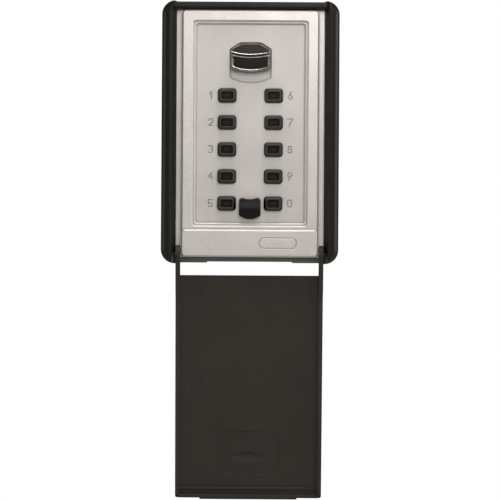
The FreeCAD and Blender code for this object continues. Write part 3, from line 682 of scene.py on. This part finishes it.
@dataclass
class Door:
    """The faceplate, its lever, slide and buttons, and the mechanism behind it.

    Attributes:
        nodes: the loaded nodes by name.
        joints: the record's joints by name.
        digits: the buttons' numbers.
        block_proud: the lower block in front of the faceplate's frame.
        recess: depth of the keypad's recess.
    """

    nodes: dict[str, bpy.types.Object]
    joints: dict[str, Row]
    digits: str = "1234567890"
    block_proud: float = 1.5 * MM
    recess: float = 2.6 * MM

    def build(self) -> None:
        """Dresses every piece of the door and coils its springs."""
        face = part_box("door_cover")[0].y + self.block_proud
        paint = replace(DOOR_SILVER, face_y=face, floor_y=face + self.recess)
        dress(self.nodes, ["door_cover"], paint.make())
        dress(self.nodes, ["open_lever"], CHROME.make())
        dress(self.nodes, ["reset_slide"], SLIDE.make())
        dress(self.nodes, ["button_" + d for d in self.digits], BUTTON.make())
        dress(self.nodes, ["mechanism_case"], CASE.make())
        dress(self.nodes, ["mechanism_cover", "mechanism_screws", "latch_bolt"], STEEL.make())
        springs = {"button_spring_" + d: "push_" + d for d in self.digits}
        springs |= {"lever_spring": "lever_slide", "reset_spring": "reset_slide_travel"}
        wire = WIRE.make()
        for node, joint in springs.items():
            Spring(self.nodes[node], self.joints[joint]).build(wire)
        dress(self.nodes, list(springs), wire)


@dataclass(frozen=True)
class Lamp:
    """A soft square light that faces the object and isn't seen itself.

    Attributes:
        name: the light's name.
        offset: from the point it faces to the light, in metres.
        size: its side in metres.
        power: its power in watts.
    """

    name: str
    offset: tuple[float, float, float]
    size: float
    power: float

    def hang(self, at: Vector) -> None:
        """Hangs the light.

        Args:
            at: the point it faces.
        """
        data = bpy.data.lights.new(self.name, "AREA")
        data.size = self.size
        data.energy = self.power
        obj = bpy.data.objects.new(self.name, data)
        bpy.context.scene.collection.objects.link(obj)
        offset = Vector(self.offset)
        obj.location = at + offset
        obj.rotation_euler = (-offset).to_track_quat("-Z", "Y").to_euler()
        obj.visible_camera = False


LAMPS = (
    Lamp("key_light", (0.05, -1.20, 0.30), size=0.50, power=2.8),
    Lamp("side_light", (0.70, -0.90, 0.80), size=0.35, power=2.6),
    Lamp("near_light", (0.03, -0.20, 0.145), size=0.08, power=0.084),
    Lamp("top_light", (0.05, -0.16, 0.60), size=0.30, power=2.1),
    Lamp("fill_light", (-0.60, -1.10, 0.05), size=0.70, power=0.3),
    Lamp("right_light", (0.80, -0.05, 0.15), size=0.40, power=3.2),
    Lamp("left_light", (-0.80, -0.05, 0.10), size=0.40, power=1.5),
)
GLOW_GREY, SKY_GREY = 0.9, 1.0
FLOOR_CLOUD = Cloud(6.0)
FLOOR_TONES = ((0.82, 0.82, 0.82), (0.86, 0.86, 0.86))
FLOOR_LIFT_TONE = (0.85, 0.85, 0.85)
FLOOR_ROUGHNESS = 0.7
FLOOR_CORNERS = 96
SENSOR_MM = 36.0
CLIP_NEAR, CLIP_FAR = 0.05, 20.0


@dataclass
class Studio:
    """Floor, lights, world and camera.

    Attributes:
        reach: camera to the point that it faces, in metres.
        across: width of the view at that point, in metres.
        tilt: how far the camera leans to its left, in radians.
        aim: camera to the right of and above that point, in metres.
        depth: that point behind the object's front, in metres.
        floor_drop: floor below the object's lowest point, in metres.
        floor_r: the floor's radius, in metres.
        floor_lift: how much paler the floor looks than its light makes it.
        glow: strength of the surround's own light.
    """

    reach: float = 1.40
    across: float = 0.2263
    tilt: float = math.radians(0.36)
    aim: tuple[float, float] = (0.00023, 0.00027)
    depth: float = 0.010
    floor_drop: float = 0.15
    floor_r: float = 0.9
    floor_lift: float = 0.45
    glow: float = 0.10

    def build(self, low: Vector, high: Vector) -> None:
        """Sets the whole studio round the object's box.

        Args:
            low: the box's lowest corner.
            high: the box's highest corner.
        """
        self.sky()
        self.floor(low.z - self.floor_drop)
        centre = Vector((0.0, low.y + self.depth, (low.z + high.z) / 2))
        self.camera(centre)
        for lamp in LAMPS:
            lamp.hang(centre)

    def sky(self) -> None:
        """A surround that looks white and lights the object with a dim, even glow."""
        world = bpy.data.worlds.new("studio")
        bpy.context.scene.world = world
        world.use_nodes = True
        tree = world.node_tree
        glow = tree.nodes["Background"]
        glow.inputs["Strength"].default_value = self.glow
        seen = tree.nodes.new("ShaderNodeBackground")
        ray = tree.nodes.new("ShaderNodeLightPath")
        pick = tree.nodes.new("ShaderNodeMixShader")
        tree.links.new(ray.outputs["Is Camera Ray"], pick.inputs["Fac"])
        tree.links.new(glow.outputs["Background"], pick.inputs[1])
        tree.links.new(seen.outputs["Background"], pick.inputs[2])
        tree.links.new(pick.outputs["Shader"], tree.nodes["World Output"].inputs["Surface"])
        for node, grey in ((glow, GLOW_GREY), (seen, SKY_GREY)):
            node.inputs["Color"].default_value = (grey, grey, grey, 1.0)

    def floor(self, z: float) -> None:
        """Lays a round pale floor.

        Args:
            z: the floor's height.
        """
        bpy.ops.mesh.primitive_circle_add(vertices=FLOOR_CORNERS, radius=self.floor_r,
                                          fill_type="NGON", location=(0.0, 0.0, z))
        disc = bpy.context.object
        disc.name = "floor"
        sheet = NodeSheet("floor")
        sheet.colour(sheet.blend(sheet.noise(FLOOR_CLOUD), "Fac", *FLOOR_TONES))
        shader = sheet.shader
        shader.inputs["Roughness"].default_value = FLOOR_ROUGHNESS
        shader.inputs["Emission Color"].default_value = (*FLOOR_LIFT_TONE, 1.0)
        ray = sheet.add("ShaderNodeLightPath")
        lift = sheet.maths("MULTIPLY", (ray, "Is Camera Ray"), self.floor_lift)
        sheet.join(lift, "Value", shader, "Emission Strength")
        disc.data.materials.append(sheet.material)
        disc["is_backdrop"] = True

    def camera(self, at: Vector) -> None:
        """Stands the camera straight in front.

        Args:
            at: the point it faces.
        """
        data = bpy.data.cameras.new("camera")
        data.sensor_width = SENSOR_MM
        data.lens = SENSOR_MM * self.reach / self.across
        data.clip_start, data.clip_end = CLIP_NEAR, CLIP_FAR
        obj = bpy.data.objects.new("camera", data)
        bpy.context.scene.collection.objects.link(obj)
        obj.location = at + Vector((self.aim[0], -self.reach, self.aim[1]))
        obj.rotation_euler = (math.radians(90.0), -self.tilt, 0.0)
        bpy.context.scene.camera = obj


def main() -> None:
    """Loads the frame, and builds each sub-assembly and the studio."""
    logging.basicConfig(level=logging.INFO, format="%(name)s: %(message)s")
    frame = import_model()
    low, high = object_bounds()
    nodes = frame["nodes"]
    joints = {row["name"]: row for row in frame["joints"]}
    for part in (CaseShell(nodes), WeatherFlap(nodes), Door(nodes, joints)):
        part.build()
        LOG.info("built %s", type(part).__name__)
    Studio().build(low, high)
    bpy.context.scene.view_settings.view_transform = "Standard"


if __name__ == "__main__":
    main()
